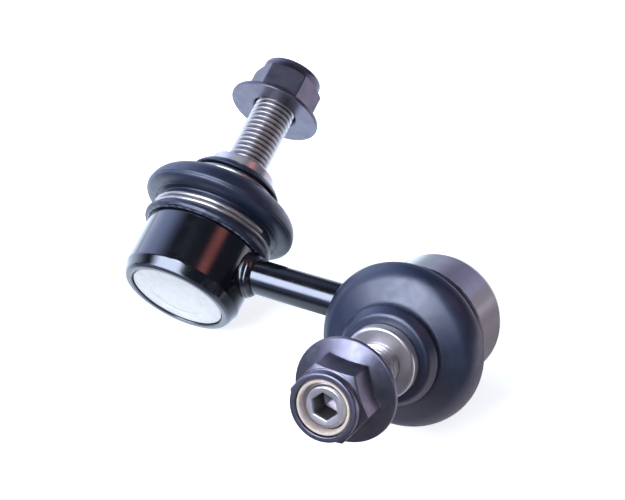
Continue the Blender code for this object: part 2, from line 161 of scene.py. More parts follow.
def marked(tree, label):
    """The numbers that skin keeps on a mesh under a label."""
    reader = tree.nodes.new("ShaderNodeAttribute")
    reader.attribute_name = label
    return reader.outputs["Fac"]


def feed(tree, value, socket):
    """Set a node's input to a number or a colour, or link it to another node's output."""
    if isinstance(value, bpy.types.NodeSocket):
        tree.links.new(value, socket)
    elif isinstance(value, tuple):
        socket.default_value = (*value, 1.0)
    else:
        socket.default_value = value


def tint(tree, amount, first, second):
    """A colour that goes from first to second with amount."""
    mix = tree.nodes.new("ShaderNodeMix")
    mix.data_type = "RGBA"
    feed(tree, first, mix.inputs["A"])
    feed(tree, second, mix.inputs["B"])
    tree.links.new(amount, mix.inputs["Factor"])
    return mix.outputs["Result"]


def relief(tree, shader, height, metres):
    """Bump of so many metres for a height that runs from 0 to 1."""
    bump = tree.nodes.new("ShaderNodeBump")
    bump.inputs["Distance"].default_value = metres
    bump.inputs["Strength"].default_value = 1.0
    tree.links.new(height, bump.inputs["Height"])
    tree.links.new(bump.outputs["Normal"], shader.inputs["Normal"])


def lacquer(shader, coat_roughness):
    """Gloss paint's shine: strong reflections with a blue cast, and a clear coat over them."""
    shader.inputs["Specular IOR Level"].default_value = 1.0
    shader.inputs["Specular Tint"].default_value = (0.80, 0.87, 1.0, 1.0)
    shader.inputs["Coat Weight"].default_value = 0.7
    shader.inputs["Coat Roughness"].default_value = coat_roughness


# Gloss black stoving paint: near black with a blue cast, faint orange peel and a little dust.
black_paint, tree, shader, place = finish_nodes("black_paint")
dust = mottle(tree, place, 5200.0, 0.0, 1.0, 2.0, 0.70, 0.80)
tree.links.new(tint(tree, dust, BLACK, DUST), shader.inputs["Base Color"])
tree.links.new(mottle(tree, place, 260.0, 0.10, 0.20), shader.inputs["Roughness"])
lacquer(shader, 0.08)
relief(tree, shader, mottle(tree, place, 900.0, 0.0, 1.0), 0.000004)


def housing_wall(side, level, height):
    """How far from the link's middle a line along the bar meets a housing's round side.

    level and height are the line's Y and Z from the bar's. They give its distance from the
    joint's upright plane, and the way from that plane to the wall is the other side of a right
    triangle with the housing's radius as its longest side.
    """
    off_axis = level * joints[side]["level"][1] + height * joints[side]["level"][2]
    return HALF_LINK - np.sqrt(HOUSING_RADIUS**2 - off_axis**2)


# The bar's rings: each point's radius and turn give its Y and Z, and its X runs between the two
# housings' round sides, so each end follows the saddle that it is notched to.
ring_radius = ROD_RADIUS * np.array([0.0, 0.5, 1.0, 1.0, 1.0, 1.0, 1.0, 1.0, 1.0, 0.5, 0.0])[:, None]
ring_share = np.array([0.0, 0.0, 0.0, 0.02, 0.25, 0.5, 0.75, 0.98, 1.0, 1.0, 1.0])[:, None]
turn = around_once(96)
level, height = ring_radius * np.sin(turn), ring_radius * np.cos(turn)
reach_a, reach_b = housing_wall("a", level, height), housing_wall("b", level, height)
bar_x = -reach_a + (reach_a + reach_b) * ring_share
rod = skin("rod_bar", np.stack([bar_x, ROD_SHIFT + level, ROD_HEIGHT + height], axis=-1))
rod.data.materials.append(black_paint)
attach(rod, "link_body")
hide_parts("link_rod")


# Weld beads: a narrow ring of weld metal round each end of the bar, two curled ridges wide,
# laid where the bar meets the housing and painted over with it. It stays under the boot's lip.
BEAD_ROOT = 0.0053
BEAD_TOE = 0.00425
BEAD_LENGTH = 0.0021
RIDGE_HEIGHT = 0.00014
WAVER_HEIGHT = 0.00008
BEAD_SINK = 0.00002
LIP_CLEARANCE = 0.00418

painted_weld, tree, shader, place = finish_nodes("painted_weld")
spatter = mottle(tree, place, 1900.0, 0.0, 1.0, 4.0, 0.60, 0.75)
tree.links.new(tint(tree, spatter, BLACK, DUST), shader.inputs["Base Color"])
tree.links.new(mottle(tree, place, 700.0, 0.16, 0.38), shader.inputs["Roughness"])
lacquer(shader, 0.1)
relief(tree, shader, mottle(tree, place, 1400.0, 0.0, 1.0, 2.0), 0.000006)

turn = around_once(144)
share = np.linspace(0.0, 1.0, 25)[:, None]
for side, towards in (("a", -1.0), ("b", 1.0)):
    # The radius falls off towards the bar, slowly and then fast, with two ridges on it and a
    # slow waver round the bar where the weld was stopped and started.
    fall = BEAD_TOE + (BEAD_ROOT - BEAD_TOE) * (1.0 - share**2)
    ridges = RIDGE_HEIGHT * np.abs(np.sin(FULL_TURN * share + 0.25 * np.sin(3.0 * turn)))
    waver = WAVER_HEIGHT * np.sin(5.0 * turn + 1.3) * np.sin(math.pi * share)
    outer = fall + ridges + waver
    # Towards the stud it is shaved to a flat plane, to leave the boot's lip free.
    toward_stud = np.sin(turn) * joints[side]["axis"][1] + np.cos(turn) * joints[side]["axis"][2]
    outer = np.minimum(outer, LIP_CLEARANCE / np.maximum(toward_stud, 0.001))
    inner = np.full_like(outer, ROD_RADIUS - BEAD_SINK)
    bead_radius = np.concatenate([outer, inner[::-6]])
    along = np.concatenate([share, share[::-6]])
    level, height = bead_radius * np.sin(turn), bead_radius * np.cos(turn)
    bead_x = towards * (housing_wall(side, level, height) - BEAD_LENGTH * along)
    grid = np.stack([bead_x, ROD_SHIFT + level, ROD_HEIGHT + height], axis=-1)
    bead = skin("bead_" + side, grid, ring=True)
    bead.data.materials.append(painted_weld)
    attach(bead, "link_body")
    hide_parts("weld_bead_" + side)


# Ball housings: turned steel cups, welded to the bar and painted black. The lower edge is
# turned to a bevel and rolled in over the end cap, and the groove under the boot holds its lip.
MOUTH_RADIUS = 0.0096
NECK_TOP = 0.0096
NECK_LIP_RADIUS = 0.0112
NECK_RADIUS = 0.0106
SHOULDER = 0.0042
BEVEL_TOP = -0.00803
RIM_RADIUS = 0.0131
RIM_FACE = -0.010828
RIM_INSIDE = -0.010028
RIM_OPENING = 0.0113
RECESS_RADIUS = 0.0123
RECESS_TOP = -0.0081282
BORE_RADIUS = 0.0106


def rounded(corners, steps=5):
    """Outline through corners given as radius, height and rounding, all in metres.

    Each corner becomes the curve that runs from one side to the other, both sides at the
    rounding's distance from it, and is pulled to the corner (a quadratic Bezier). A held
    point beyond each end of the curve keeps the flats flat under smooth shading.
    """
    at = np.array([corner[:2] for corner in corners])
    cut = np.array([corner[2] for corner in corners])
    back, ahead = np.roll(at, 1, axis=0) - at, np.roll(at, -1, axis=0) - at
    far_back, far_ahead = np.linalg.norm(back, axis=1), np.linalg.norm(ahead, axis=1)
    cut = np.minimum(cut, 0.42 * np.minimum(far_back, far_ahead))[:, None]
    first, last = at + back / far_back[:, None] * cut, at + ahead / far_ahead[:, None] * cut
    t = np.linspace(0.0, 1.0, steps)[None, :, None]
    arc = (1 - t) ** 2 * first[:, None] + 2 * t * (1 - t) * at[:, None] + t**2 * last[:, None]
    held_first = at + back / far_back[:, None] * cut * 1.15
    held_last = at + ahead / far_ahead[:, None] * cut * 1.15
    whole = np.concatenate([held_first[:, None], arc, held_last[:, None]], axis=1)
    return whole.reshape(-1, 2)


def about_joint(side, radius, angle, height):
    """Points at a radius and angle about a joint's axis and at a height along it."""
    joint = joints[side]
    radius, angle, height = np.broadcast_arrays(radius, angle, height)
    return (
        joint["centre"]
        + (radius * np.cos(angle))[..., None] * joint["across"]
        + (radius * np.sin(angle))[..., None] * joint["level"]
        + height[..., None] * joint["axis"]
    )


def turned(name, side, outline, columns=160, ring=True, marks=None):
    """A surface of revolution: each outline point goes once round the joint's axis."""
    grid = about_joint(side, outline[:, :1], around_once(columns), outline[:, 1:2])
    return skin(name, grid, ring, marks)


housing_paint, tree, shader, place = finish_nodes("housing_paint")
dust = mottle(tree, place, 5200.0, 0.0, 1.0, 2.0, 0.70, 0.80)
paint = tint(tree, dust, BLACK, DUST)
# Painted reflection: the rolled rim is painted a little lighter than the paint, standing in for the paper's
# reflection along it.
rim_reflection_paint = tint(tree, marked(tree, "rolled"), paint, (0.030, 0.032, 0.042))
tree.links.new(rim_reflection_paint, shader.inputs["Base Color"])
tree.links.new(mottle(tree, place, 260.0, 0.12, 0.22), shader.inputs["Roughness"])
lacquer(shader, 0.08)
relief(tree, shader, mottle(tree, place, 900.0, 0.0, 1.0), 0.000004)

housing_outline = rounded([
    (MOUTH_RADIUS, NECK_TOP, 0.0002),
    (NECK_LIP_RADIUS, NECK_TOP, 0.0002),
    (NECK_LIP_RADIUS, 0.0088, 0.0002),
    (NECK_RADIUS, 0.0082, 0.0003),
    (NECK_RADIUS, SHOULDER, 0.0003),
    (HOUSING_RADIUS, SHOULDER, 0.0004),
    (HOUSING_RADIUS, BEVEL_TOP, 0.00025),
    (RIM_RADIUS, RIM_FACE + 0.0005, 0.0003),
    (RIM_RADIUS - 0.0005, RIM_FACE, 0.0004),
    (RIM_OPENING, RIM_FACE, 0.00035),
    (RIM_OPENING, RIM_INSIDE, 0.0001),
    (RECESS_RADIUS, RIM_INSIDE, 0.0001),
    (RECESS_RADIUS, RECESS_TOP, 0.0001),
    (BORE_RADIUS, RECESS_TOP, 0.0001),
    (BORE_RADIUS, 0.0019, 0.0002),
    (0.0082, 0.0043, 0.0002),
])
rolled = (housing_outline[:, 1] < RIM_FACE + 0.0006).astype(float)
for side in "ab":
    housing = turned("housing_" + side, side, housing_outline, marks={"rolled": rolled})
    housing.data.materials.append(housing_paint)
    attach(housing, "link_body")
    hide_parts("ball_housing_" + side)


# End caps: pale zinc-plated steel discs, dropped into the housing over the bearing seat and
# held by the rolled edge. A faint round step in the middle comes from the press tool.
CAP_TOP = -0.008428
CAP_LEDGE = -0.009728
CAP_FACE = -0.010428
LEDGE_RADIUS = 0.012
CAP_RADIUS = 0.011
PANEL_RADIUS = 0.0067
PANEL_DEPTH = 0.00014

cap_zinc, tree, shader, place = finish_nodes("cap_zinc")
bloom = mottle(tree, place, 420.0, 0.0, 1.0, 4.0, 0.30, 0.70)
tree.links.new(tint(tree, bloom, (0.68, 0.65, 0.60), (0.73, 0.70, 0.65)), shader.inputs["Base Color"])
tree.links.new(mottle(tree, place, 600.0, 0.34, 0.48), shader.inputs["Roughness"])
shader.inputs["Metallic"].default_value = 0.85
relief(tree, shader, mottle(tree, place, 1600.0, 0.0, 1.0, 2.0), 0.000002)

cap_outline = rounded([
    (0.0, CAP_TOP, 0.0),
    (LEDGE_RADIUS, CAP_TOP, 0.0002),
    (LEDGE_RADIUS, CAP_LEDGE, 0.0002),
    (CAP_RADIUS, CAP_LEDGE, 0.0001),
    (CAP_RADIUS, CAP_FACE, 0.0004),
    (PANEL_RADIUS + 0.0002, CAP_FACE, 0.0001),
    (PANEL_RADIUS, CAP_FACE + PANEL_DEPTH, 0.0001),
    (0.0, CAP_FACE + PANEL_DEPTH, 0.0),
])
# No point may lie beyond the axis.
cap_outline[:, 0] = np.maximum(cap_outline[:, 0], 0.0)
for side in "ab":
    cap = turned("cap_" + side, side, cap_outline, ring=False)
    cap.data.materials.append(cap_zinc)
    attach(cap, "link_body")
    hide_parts("end_cap_" + side)


# Bearing seats: white acetal shells round the balls, hidden inside the housings.
seat_plastic, tree, shader, place = finish_nodes("seat_plastic")
pale = mottle(tree, place, 300.0, 0.0, 1.0)
tree.links.new(tint(tree, pale, (0.74, 0.73, 0.69), (0.80, 0.79, 0.75)), shader.inputs["Base Color"])
tree.links.new(mottle(tree, place, 900.0, 0.35, 0.45), shader.inputs["Roughness"])
for side in "ab":
    for seat_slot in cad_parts["bearing_seat_" + side].material_slots:
        seat_slot.material = seat_plastic


# Ball studs: cold-headed steel, zinc plated. A ball and waisted neck turn in the seat, the boot
# sits on the journal, and a rolled 1.25 mm thread above the collar takes the flange nut.
BALL_RADIUS = 0.008
FLAT_RADIUS = 0.004
FLAT_HEIGHT = -0.0069282
WAIST_RADIUS = 0.0046
JOURNAL_RADIUS = 0.0065
COLLAR_RADIUS = 0.0079
COLLAR_BOTTOM = 0.02241
COLLAR_TOP = 0.02511
STUD_END = 0.05031
THREAD_RADIUS = 0.0049
THREAD_DEPTH = 0.00070
THREAD_PITCH = 0.00125
UNDERCUT = 0.0003
END_CHAMFER = 0.0010
SOCKET_HALF = 0.0025
SOCKET_DEPTH = 0.005
SOCKET_TURN = math.radians(46.0)


def hexagon_radius(half_across, turn, angle):
    """Distance from a hexagon's middle to its side in each direction: the half width across
    flats over the cosine of the angle from the nearest flat's middle."""
    from_flat = np.mod(angle - turn, math.pi / 3.0) - math.pi / 6.0
    return half_across / np.cos(from_flat)


stud_steel, tree, shader, place = finish_nodes("stud_steel")
stain = mottle(tree, place, 350.0, 0.0, 1.0, 4.0)
zinc = tint(tree, stain, (0.58, 0.56, 0.57), (0.64, 0.62, 0.63))
# Painted shade: darker where the mesh marks the hollows of the thread and the key socket.
shaded_zinc = tint(tree, marked(tree, "cut"), zinc, (0.060, 0.055, 0.065))
tree.links.new(shaded_zinc, shader.inputs["Base Color"])
tree.links.new(mottle(tree, place, 400.0, 0.29, 0.35), shader.inputs["Roughness"])
shader.inputs["Metallic"].default_value = 0.8

shank_outline = rounded([
    (0.0, FLAT_HEIGHT, 0.0),
    (FLAT_RADIUS, FLAT_HEIGHT, 0.0),
    (WAIST_RADIUS, 0.0134, 0.0008),
    (JOURNAL_RADIUS, 0.0182, 0.0006),
    (JOURNAL_RADIUS, COLLAR_BOTTOM, 0.0001),
    (COLLAR_RADIUS, COLLAR_BOTTOM, 0.0004),
    (COLLAR_RADIUS, COLLAR_TOP, 0.0007),
    (THREAD_RADIUS - UNDERCUT, COLLAR_TOP, 0.0003),
], steps=7)
# The ball's arc runs from the flat under it to the waist, where the shank's outline takes over.
lower_end = np.arctan2(FLAT_HEIGHT, FLAT_RADIUS)
upper_end = np.arctan2(math.sqrt(BALL_RADIUS**2 - WAIST_RADIUS**2), WAIST_RADIUS)
sweep = np.linspace(lower_end, upper_end, 33)
ball_outline = BALL_RADIUS * np.stack([np.cos(sweep), np.sin(sweep)], axis=1)
above_ball = shank_outline[:, 1] > ball_outline[-1, 1] + 0.0002
body_outline = np.concatenate([[[0.0, FLAT_HEIGHT]], ball_outline, shank_outline[above_ball]])
angle = SOCKET_TURN + around_once(96)
for side in "ab":
    # Thread: the radius is the crest less a rounded groove, whose place along the stud moves by
    # one pitch a turn. The grooves fade in over the first turn and out on the end's chamfer.
    rise = np.linspace(COLLAR_TOP + 0.0004, STUD_END - 0.0001, 340)[:, None]
    phase = np.mod(rise / THREAD_PITCH - angle / FULL_TURN, 1.0)
    groove = np.clip(1.35 * (0.5 + 0.5 * np.cos(FULL_TURN * phase)) - 0.12, 0.0, 1.0)
    fade = np.clip((rise - COLLAR_TOP - 0.0006) / 0.0009, 0.0, 1.0)
    chamfer = np.minimum(THREAD_RADIUS, THREAD_RADIUS - END_CHAMFER + (STUD_END - rise))
    thread = THREAD_RADIUS - THREAD_DEPTH * groove * fade - UNDERCUT * (1.0 - fade)
    thread = np.minimum(thread, chamfer)
    plain = np.broadcast_to(body_outline[:, :1], (len(body_outline), len(angle)))
    # End face and key socket: from the chamfer's circle to the hexagon, down and to a cone.
    face = np.full((2, len(angle)), THREAD_RADIUS - END_CHAMFER)
    face[1] -= 0.0001
    lip = hexagon_radius(SOCKET_HALF, SOCKET_TURN, angle)
    inside = np.stack([lip + 0.00025, lip + 0.0001, lip, lip, lip, lip * 0.96, lip * 0.0])
    inside_depth = np.array([0.0, 0.00004, 0.0002, 0.001, SOCKET_DEPTH - 0.0002, SOCKET_DEPTH, 0.0056])
    radius = np.concatenate([plain, thread, face, inside])
    height = np.concatenate([body_outline[:, 1], rise[:, 0], [STUD_END, STUD_END], STUD_END - inside_depth])
    # Painted shade: the lower half of the thread's grooves and the key socket below its edge are darkened,
    # standing in for the shade in these hollows.
    shade_share = np.zeros_like(radius)
    groove_shade = 0.9 * np.clip(2.2 * groove - 1.1, 0.0, 1.0) * fade
    shade_share[len(plain):len(plain) + len(thread)] = groove_shade
    shade_share[-4:] = 0.8
    grid = about_joint(side, radius, angle, height[:, None])
    stud = skin("stud_" + side, grid, marks={"cut": shade_share})
    stud.data.materials.append(stud_steel)
    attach(stud, "stud_body_" + side)
    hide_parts("ball_stud_" + side)


# Dust boots: moulded chloroprene bellows with one fat fold. The lower lip sits in the housing's
# groove under a wire clip, and the upper lip runs on the stud's journal under a wire ring.
FOLD_RADIUS = 0.00492
FOLD_MIDDLE = 0.01320
FOLD_HEIGHT = 0.01212
FOLD_BOTTOM = 0.01054
FOLD_END = 66.0
DOME_ROOT = (0.0112, 0.01828)
UNDERSIDE_REACH = 0.0030
BOOT_WALL = 0.0016
LIP_RADIUS = 0.0155
LIP_BOTTOM = 0.0045
LIP_TOP = 0.0067
CLIP_SEAT = 0.0136
BOOT_TOP = 0.02225
RING_LIP = 0.02000
RING_GROOVE = 0.0092
SLEEVE_RADIUS = 0.0068
SLEEVE_BOTTOM = 0.01710
FLASH_DROP = 0.00018
STILL_RADIUS = 0.0130
STILL_HEIGHT = 0.0195
CALMING = 0.0045
RUBBER = (0.0065, 0.0120, 0.0330)
# How far each boot sits askew: its tilt at the crest, the side it leans to, how far the fold is
# pushed to that side, and how much of the wire ring its upper lip leaves to be seen.
boot_tilt = {"a": 0.00045, "b": 0.00012}
boot_side = {"a": math.radians(222.0), "b": math.radians(70.0)}
boot_push = {"a": 0.00018, "b": 0.00008}
lip_gap = {"a": 0.00030, "b": -0.00010}


def fold(radius, first, last, count):
    """Points of the fold's circle about its middle, from one angle to another in degrees."""
    around = np.radians(np.linspace(first, last, count))
    across, up = radius * np.cos(around), radius * np.sin(around)
    return np.stack([FOLD_MIDDLE + across, FOLD_HEIGHT + up], axis=1)


def askew(side, angle, height):
    """How far a boot and its clip are lifted and pushed outwards, round and up the joint.

    Both follow the cosine of the angle from the side that the boot leans to. The lift grows
    over the lower lip's height, and both die away from the fold's top to the upper lip.
    """
    grow = np.clip((height - LIP_BOTTOM) / (LIP_TOP - LIP_BOTTOM), 0.0, 1.0)
    fade = np.clip((STILL_HEIGHT - height) / CALMING, 0.0, 1.0)
    fade = fade * fade * (3.0 - 2.0 * fade)
    lean = np.cos(angle - boot_side[side])
    lift = -boot_tilt[side] * grow * grow * (3.0 - 2.0 * grow) * fade * lean
    return lift, boot_push[side] * fade * lean


boot_rubber, tree, shader, place = finish_nodes("boot_rubber")
powder = mottle(tree, place, 240.0, 0.0, 1.0, 5.0)
# Painted glints: the flash under the lip is pale in flecks, standing in for the light points along its
# ragged edge.
flash_glints = tree.nodes.new("ShaderNodeMath")
flash_glints.operation = "MULTIPLY"
tree.links.new(marked(tree, "flash"), flash_glints.inputs[0])
tree.links.new(mottle(tree, place, 900.0, 0.0, 1.0, 5.0, 0.46, 0.58), flash_glints.inputs[1])
powdered = tint(tree, powder, RUBBER, (0.0105, 0.0175, 0.0440))
glinted_rubber = tint(tree, flash_glints.outputs["Value"], powdered, (0.17, 0.18, 0.24))
tree.links.new(glinted_rubber, shader.inputs["Base Color"])
tree.links.new(mottle(tree, place, 500.0, 0.33, 0.43, 4.0), shader.inputs["Roughness"])
shader.inputs["Specular IOR Level"].default_value = 1.0
shader.inputs["Specular Tint"].default_value = (0.90, 0.93, 1.0, 1.0)
relief(tree, shader, mottle(tree, place, 5000.0, 0.0, 1.0, 3.0), 0.000010)

lip_corners = rounded([
    (0.0109, LIP_BOTTOM, 0.0002),
    (0.0139, LIP_BOTTOM, 0.0001),
    (0.0142, LIP_BOTTOM - FLASH_DROP, 0.00008),
    (0.0146, LIP_BOTTOM, 0.0001),
    (LIP_RADIUS - 0.0004, LIP_BOTTOM, 0.0003),
    (LIP_RADIUS, LIP_BOTTOM + 0.0006, 0.0003),
    (LIP_RADIUS - 0.0002, 0.0060, 0.0004),
    (0.0147, LIP_TOP, 0.0004),
    (CLIP_SEAT, LIP_TOP, 0.0002),
    (CLIP_SEAT, FOLD_BOTTOM, 0.0004),
    (0.0152, FOLD_BOTTOM, 0.0003),
], steps=5)[1:-1]
crest = FOLD_MIDDLE + FOLD_RADIUS
under = np.radians(np.linspace(88.0, 14.0, 16))[:, None]
underside = np.concatenate([
    crest - UNDERSIDE_REACH * (1.0 - np.cos(under)),
    FOLD_HEIGHT - (FOLD_HEIGHT - FOLD_BOTTOM) * np.sin(under),
], axis=1)
# The mould parts at the crest, and leaves a shallow crease just under it.
crease = [[crest - 0.00010, FOLD_HEIGHT - 0.00022], [crest - 0.00011, FOLD_HEIGHT - 0.00012]]
lower_outline = np.concatenate([
    lip_corners,
    underside,
    crease,
    fold(FOLD_RADIUS, -0.4, 0.0, 2),
    [[crest - BOOT_WALL, FOLD_HEIGHT]],
    [[0.0118, FOLD_HEIGHT + 0.0001], [0.0115, 0.0119], [0.0115, 0.0093], [0.0109, 0.0079]],
])
# Between the fold and the dome's root the boot is a straight cone.
fold_end = fold(FOLD_RADIUS, FOLD_END, FOLD_END, 1)
cone = fold_end + (np.array(DOME_ROOT) - fold_end) * np.array([[0.04], [0.3], [0.6], [0.9], [0.97]])
for side in "ab":
    ring_lip = RING_LIP + lip_gap[side]
    # The curves at both ends, where the outline would turn back on itself, are cut off.
    top_corners = rounded([
        (*DOME_ROOT, 0.0003),
        (0.0096, 0.01836, 0.0003),
        (RING_GROOVE, 0.01860, 0.0002),
        (RING_GROOVE, ring_lip - 0.0001, 0.0002),
        (0.0110, ring_lip - 0.0001, 0.0003),
        (0.0109, ring_lip + 0.0004, 0.0003),
        (0.0098, BOOT_TOP - 0.0002, 0.0006),
        (0.0079, BOOT_TOP, 0.0003),
        (SLEEVE_RADIUS, BOOT_TOP, 0.0002),
        (SLEEVE_RADIUS, SLEEVE_BOTTOM, 0.0003),
    ], steps=5)[5:-3]
    upper_outline = np.concatenate([
        fold(FOLD_RADIUS, 0.0, FOLD_END, 24),
        cone,
        top_corners,
        fold(FOLD_RADIUS - BOOT_WALL, 90.0, 0.0, 13),
    ])
    outlines = {"lower": lower_outline, "upper": upper_outline}
    for part, outline in outlines.items():
        around = around_once(192)
        # The mould's flash leaves the lip's edge ragged: three waves of unlike length round it.
        ragged = np.sin(17.0 * around) + np.sin(29.0 * around + 1.0) + np.sin(53.0 * around + 2.0)
        reach, height = outline[:, :1], outline[:, 1:2]
        lip_edge = (reach > LIP_RADIUS - 0.0004) & (height < 0.0057)
        flash = height < LIP_BOTTOM - 0.00001
        lifted, pushed = askew(side, around, height)
        radius = reach + pushed * (reach > STILL_RADIUS)
        radius = radius + 0.000025 * (ragged - 3.0) * lip_edge + 0.00001 * ragged * flash
        grid = about_joint(side, radius, around, height + lifted)
        boot = skin(f"boot_{part}_{side}", grid, ring=True, marks={"flash": flash})
        boot.data.materials.append(boot_rubber)
        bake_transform(boot)
        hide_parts("dust_boot_" + side)


# Lower boot clips: nearly two close turns of bright spring wire round the boot's lower lip,
# each turn level, with a short step between them. The wire's ends are cut square.
CLIP_RADIUS = 0.01420
CLIP_WIRE = 0.00056
CLIP_BASE = 0.00735
CLIP_PITCH = 0.00124
CLIP_START = math.radians(80.0)
CLIP_CROSSOVER = math.radians(24.0)
CLIP_END = math.radians(702.0)
END_BEVEL = 0.00006


def wire(name, side, ring_radius, wire_radius, angle, height, columns=20):
    """Round wire along a path of angles and heights about a joint's axis, closed by flat ends.

    Each ring stands across the path: its points go out from the path's middle along the
    radius and along the joint's axis, by the cosine and sine of the turn round the wire.
    """
    turn = around_once(columns)
    # At each end the rings shrink to a point on one flat face, over a narrow bevel.
    swell = np.concatenate([[0.0, 0.88, 1.0], np.ones(len(angle) - 2), [1.0, 0.88, 0.0]])
    angle = np.concatenate([angle[:1], angle[:1], angle, angle[-1:], angle[-1:]])
    height = np.concatenate([height[:1], height[:1], height, height[-1:], height[-1:]])
    nudge = END_BEVEL / ring_radius
    angle[2], angle[-3] = angle[2] + nudge, angle[-3] - nudge
    out = ring_radius + wire_radius * swell[:, None] * np.cos(turn)
    up = height[:, None] + wire_radius * swell[:, None] * np.sin(turn)
    return skin(name, about_joint(side, out, angle[:, None], up))


spring_wire, tree, shader, place = finish_nodes("spring_wire")
tarnish = mottle(tree, place, 500.0, 0.0, 1.0, 4.0)
tree.links.new(tint(tree, tarnish, (0.44, 0.43, 0.42), (0.52, 0.51, 0.50)), shader.inputs["Base Color"])
tree.links.new(mottle(tree, place, 500.0, 0.30, 0.37), shader.inputs["Roughness"])
shader.inputs["Metallic"].default_value = 0.9

step_share = np.linspace(0.0, 1.0, 18)[1:-1]
level_angle = np.linspace(0.0, FULL_TURN - CLIP_CROSSOVER, 220)
step_angle = FULL_TURN - CLIP_CROSSOVER * (1.0 - step_share)
step_rise = CLIP_PITCH * (0.5 - 0.5 * np.cos(math.pi * step_share))
upper_angle = np.linspace(FULL_TURN, CLIP_END - CLIP_START, 170)
clip_angle = CLIP_START + np.concatenate([level_angle, step_angle, upper_angle])
clip_rise = CLIP_BASE + np.concatenate([
    np.zeros_like(level_angle), step_rise, np.full_like(upper_angle, CLIP_PITCH)
])
for side in "ab":
    tilted = clip_rise + askew(side, clip_angle, clip_rise)[0]
    clip = wire("clip_" + side, side, CLIP_RADIUS, CLIP_WIRE, clip_angle, tilted)
    clip.data.materials.append(spring_wire)
    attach(clip, "link_body")
    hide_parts("boot_clip_" + side)


# Upper boot rings: one open turn of the same spring wire in the groove under the boot's lip.
band_radius = {"a": 0.01015, "b": 0.00985}
band_wire = {"a": 0.00072, "b": 0.00060}
RING_HEIGHT = 0.01905
RING_START = math.radians(100.0)
RING_OPENING = math.radians(14.0)

ring_angle = RING_START + np.linspace(0.0, FULL_TURN - RING_OPENING, 240)
for side in "ab":
    level_height = np.full_like(ring_angle, RING_HEIGHT)
    band = wire("band_" + side, side, band_radius[side], band_wire[side], ring_angle, level_height)
    band.data.materials.append(spring_wire)
    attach(band, "ring_body_" + side)
    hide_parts("boot_ring_" + side)


# Flange nuts: cold-formed steel with a dark oiled phosphate finish. A round collar stands on
# the hexagon, rolled in over the nylon ring, and a wide cone-shaped flange spreads the load.
FLANGE_RADIUS = 0.01102
FLANGE_RIM = 0.0006
HEX_HALF = 0.0074
HEX_TOP = 0.0089
NUT_COLLAR = 0.0072
NUT_HEIGHT = 0.01108
NUT_BORE = 0.0052
LIP_OPENING = 0.0060
LIP_UNDERSIDE = 0.0105
POCKET_RADIUS = 0.0063
POCKET_BOTTOM = 0.0080
CONE_SLOPE = 1.52
CORNER_ROUNDING = 0.00010
BLEND = 0.00006
nut_face = {"a": 0.04231, "b": 0.04011}
hex_turn = {"a": math.radians(16.0), "b": math.radians(-3.0)}

nut_phosphate, tree, shader, place = finish_nodes("nut_phosphate")
oil = mottle(tree, place, 330.0, 0.0, 1.0, 6.0, 0.32, 0.68)
tree.links.new(tint(tree, oil, (0.125, 0.129, 0.172), (0.178, 0.169, 0.212)), shader.inputs["Base Color"])
tree.links.new(mottle(tree, place, 900.0, 0.29, 0.38, 3.0), shader.inputs["Roughness"])
shader.inputs["Metallic"].default_value = 0.85
relief(tree, shader, mottle(tree, place, 1500.0, 0.0, 1.0, 2.0), 0.000003)

collar_outline = rounded([
    (NUT_COLLAR, HEX_TOP - 0.0002, 0.0001),
    (NUT_COLLAR, NUT_HEIGHT, 0.0007),
    (LIP_OPENING, NUT_HEIGHT, 0.0003),
    (LIP_OPENING, LIP_UNDERSIDE, 0.0001),
    (POCKET_RADIUS, LIP_UNDERSIDE, 0.0001),
    (POCKET_RADIUS, POCKET_BOTTOM, 0.0001),
    (NUT_BORE, POCKET_BOTTOM, 0.0001),
    (NUT_BORE, 0.0005, 0.0001),
    (0.0057, 0.0, 0.0001),
    (FLANGE_RADIUS, 0.0, 0.00025),
    (FLANGE_RADIUS, FLANGE_RIM, 0.0003),
], steps=6)[7:]
# The hexagon's rings: at each height and angle the nut reaches the furthest of the flange's
# cone, the collar and the hexagon, whose top corners a 30 degree cone takes off. Smoothed
# forms of highest and lowest leave small fillets where the faces meet.
wall_height = np.concatenate([
    np.linspace(0.00077, 0.0034, 28), np.linspace(0.0038, 0.0068, 8), np.linspace(0.0070, HEX_TOP, 20)
])[:, None]
around = around_once(288)
for side in "ab":
    cone = FLANGE_RADIUS - (wall_height - FLANGE_RIM) * CONE_SLOPE
    # Near a corner the hexagon is rounded: the two flats that meet there are joined by a
    # smoothed lowest value of their distances.
    flats = np.stack([
        HEX_HALF / np.maximum(np.cos(around - hex_turn[side] - math.radians(30.0 + 60.0 * k)), 0.2)
        for k in range(6)
    ])
    prism = -CORNER_ROUNDING * np.logaddexp.reduce(-flats / CORNER_ROUNDING, axis=0)
    chamfer = NUT_COLLAR + 0.0001 + (HEX_TOP - wall_height) / math.tan(math.radians(30.0))
    hexagon = -BLEND * np.logaddexp(-prism / BLEND, -chamfer / BLEND)
    outer = BLEND * np.logaddexp(hexagon / BLEND, np.maximum(cone, 0.001) / BLEND)
    lower = np.broadcast_to(collar_outline[:, :1], (len(collar_outline), len(around)))
    radius = np.concatenate([outer, lower])
    height = nut_face[side] + np.concatenate([wall_height, collar_outline[:, 1:2]])
    nut = skin("nut_" + side, about_joint(side, radius, around, height), ring=True)
    nut.data.materials.append(nut_phosphate)
    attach(nut, "nut_body_" + side)
    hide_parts("flange_nut_" + side)


# Nylon locking rings: cream polyamide pressed into the nuts' collars. The ring's lip stands
# over the end of the stud, and its bore just clears the thread when the nut is turned down.
LIP_BORE = 0.00493

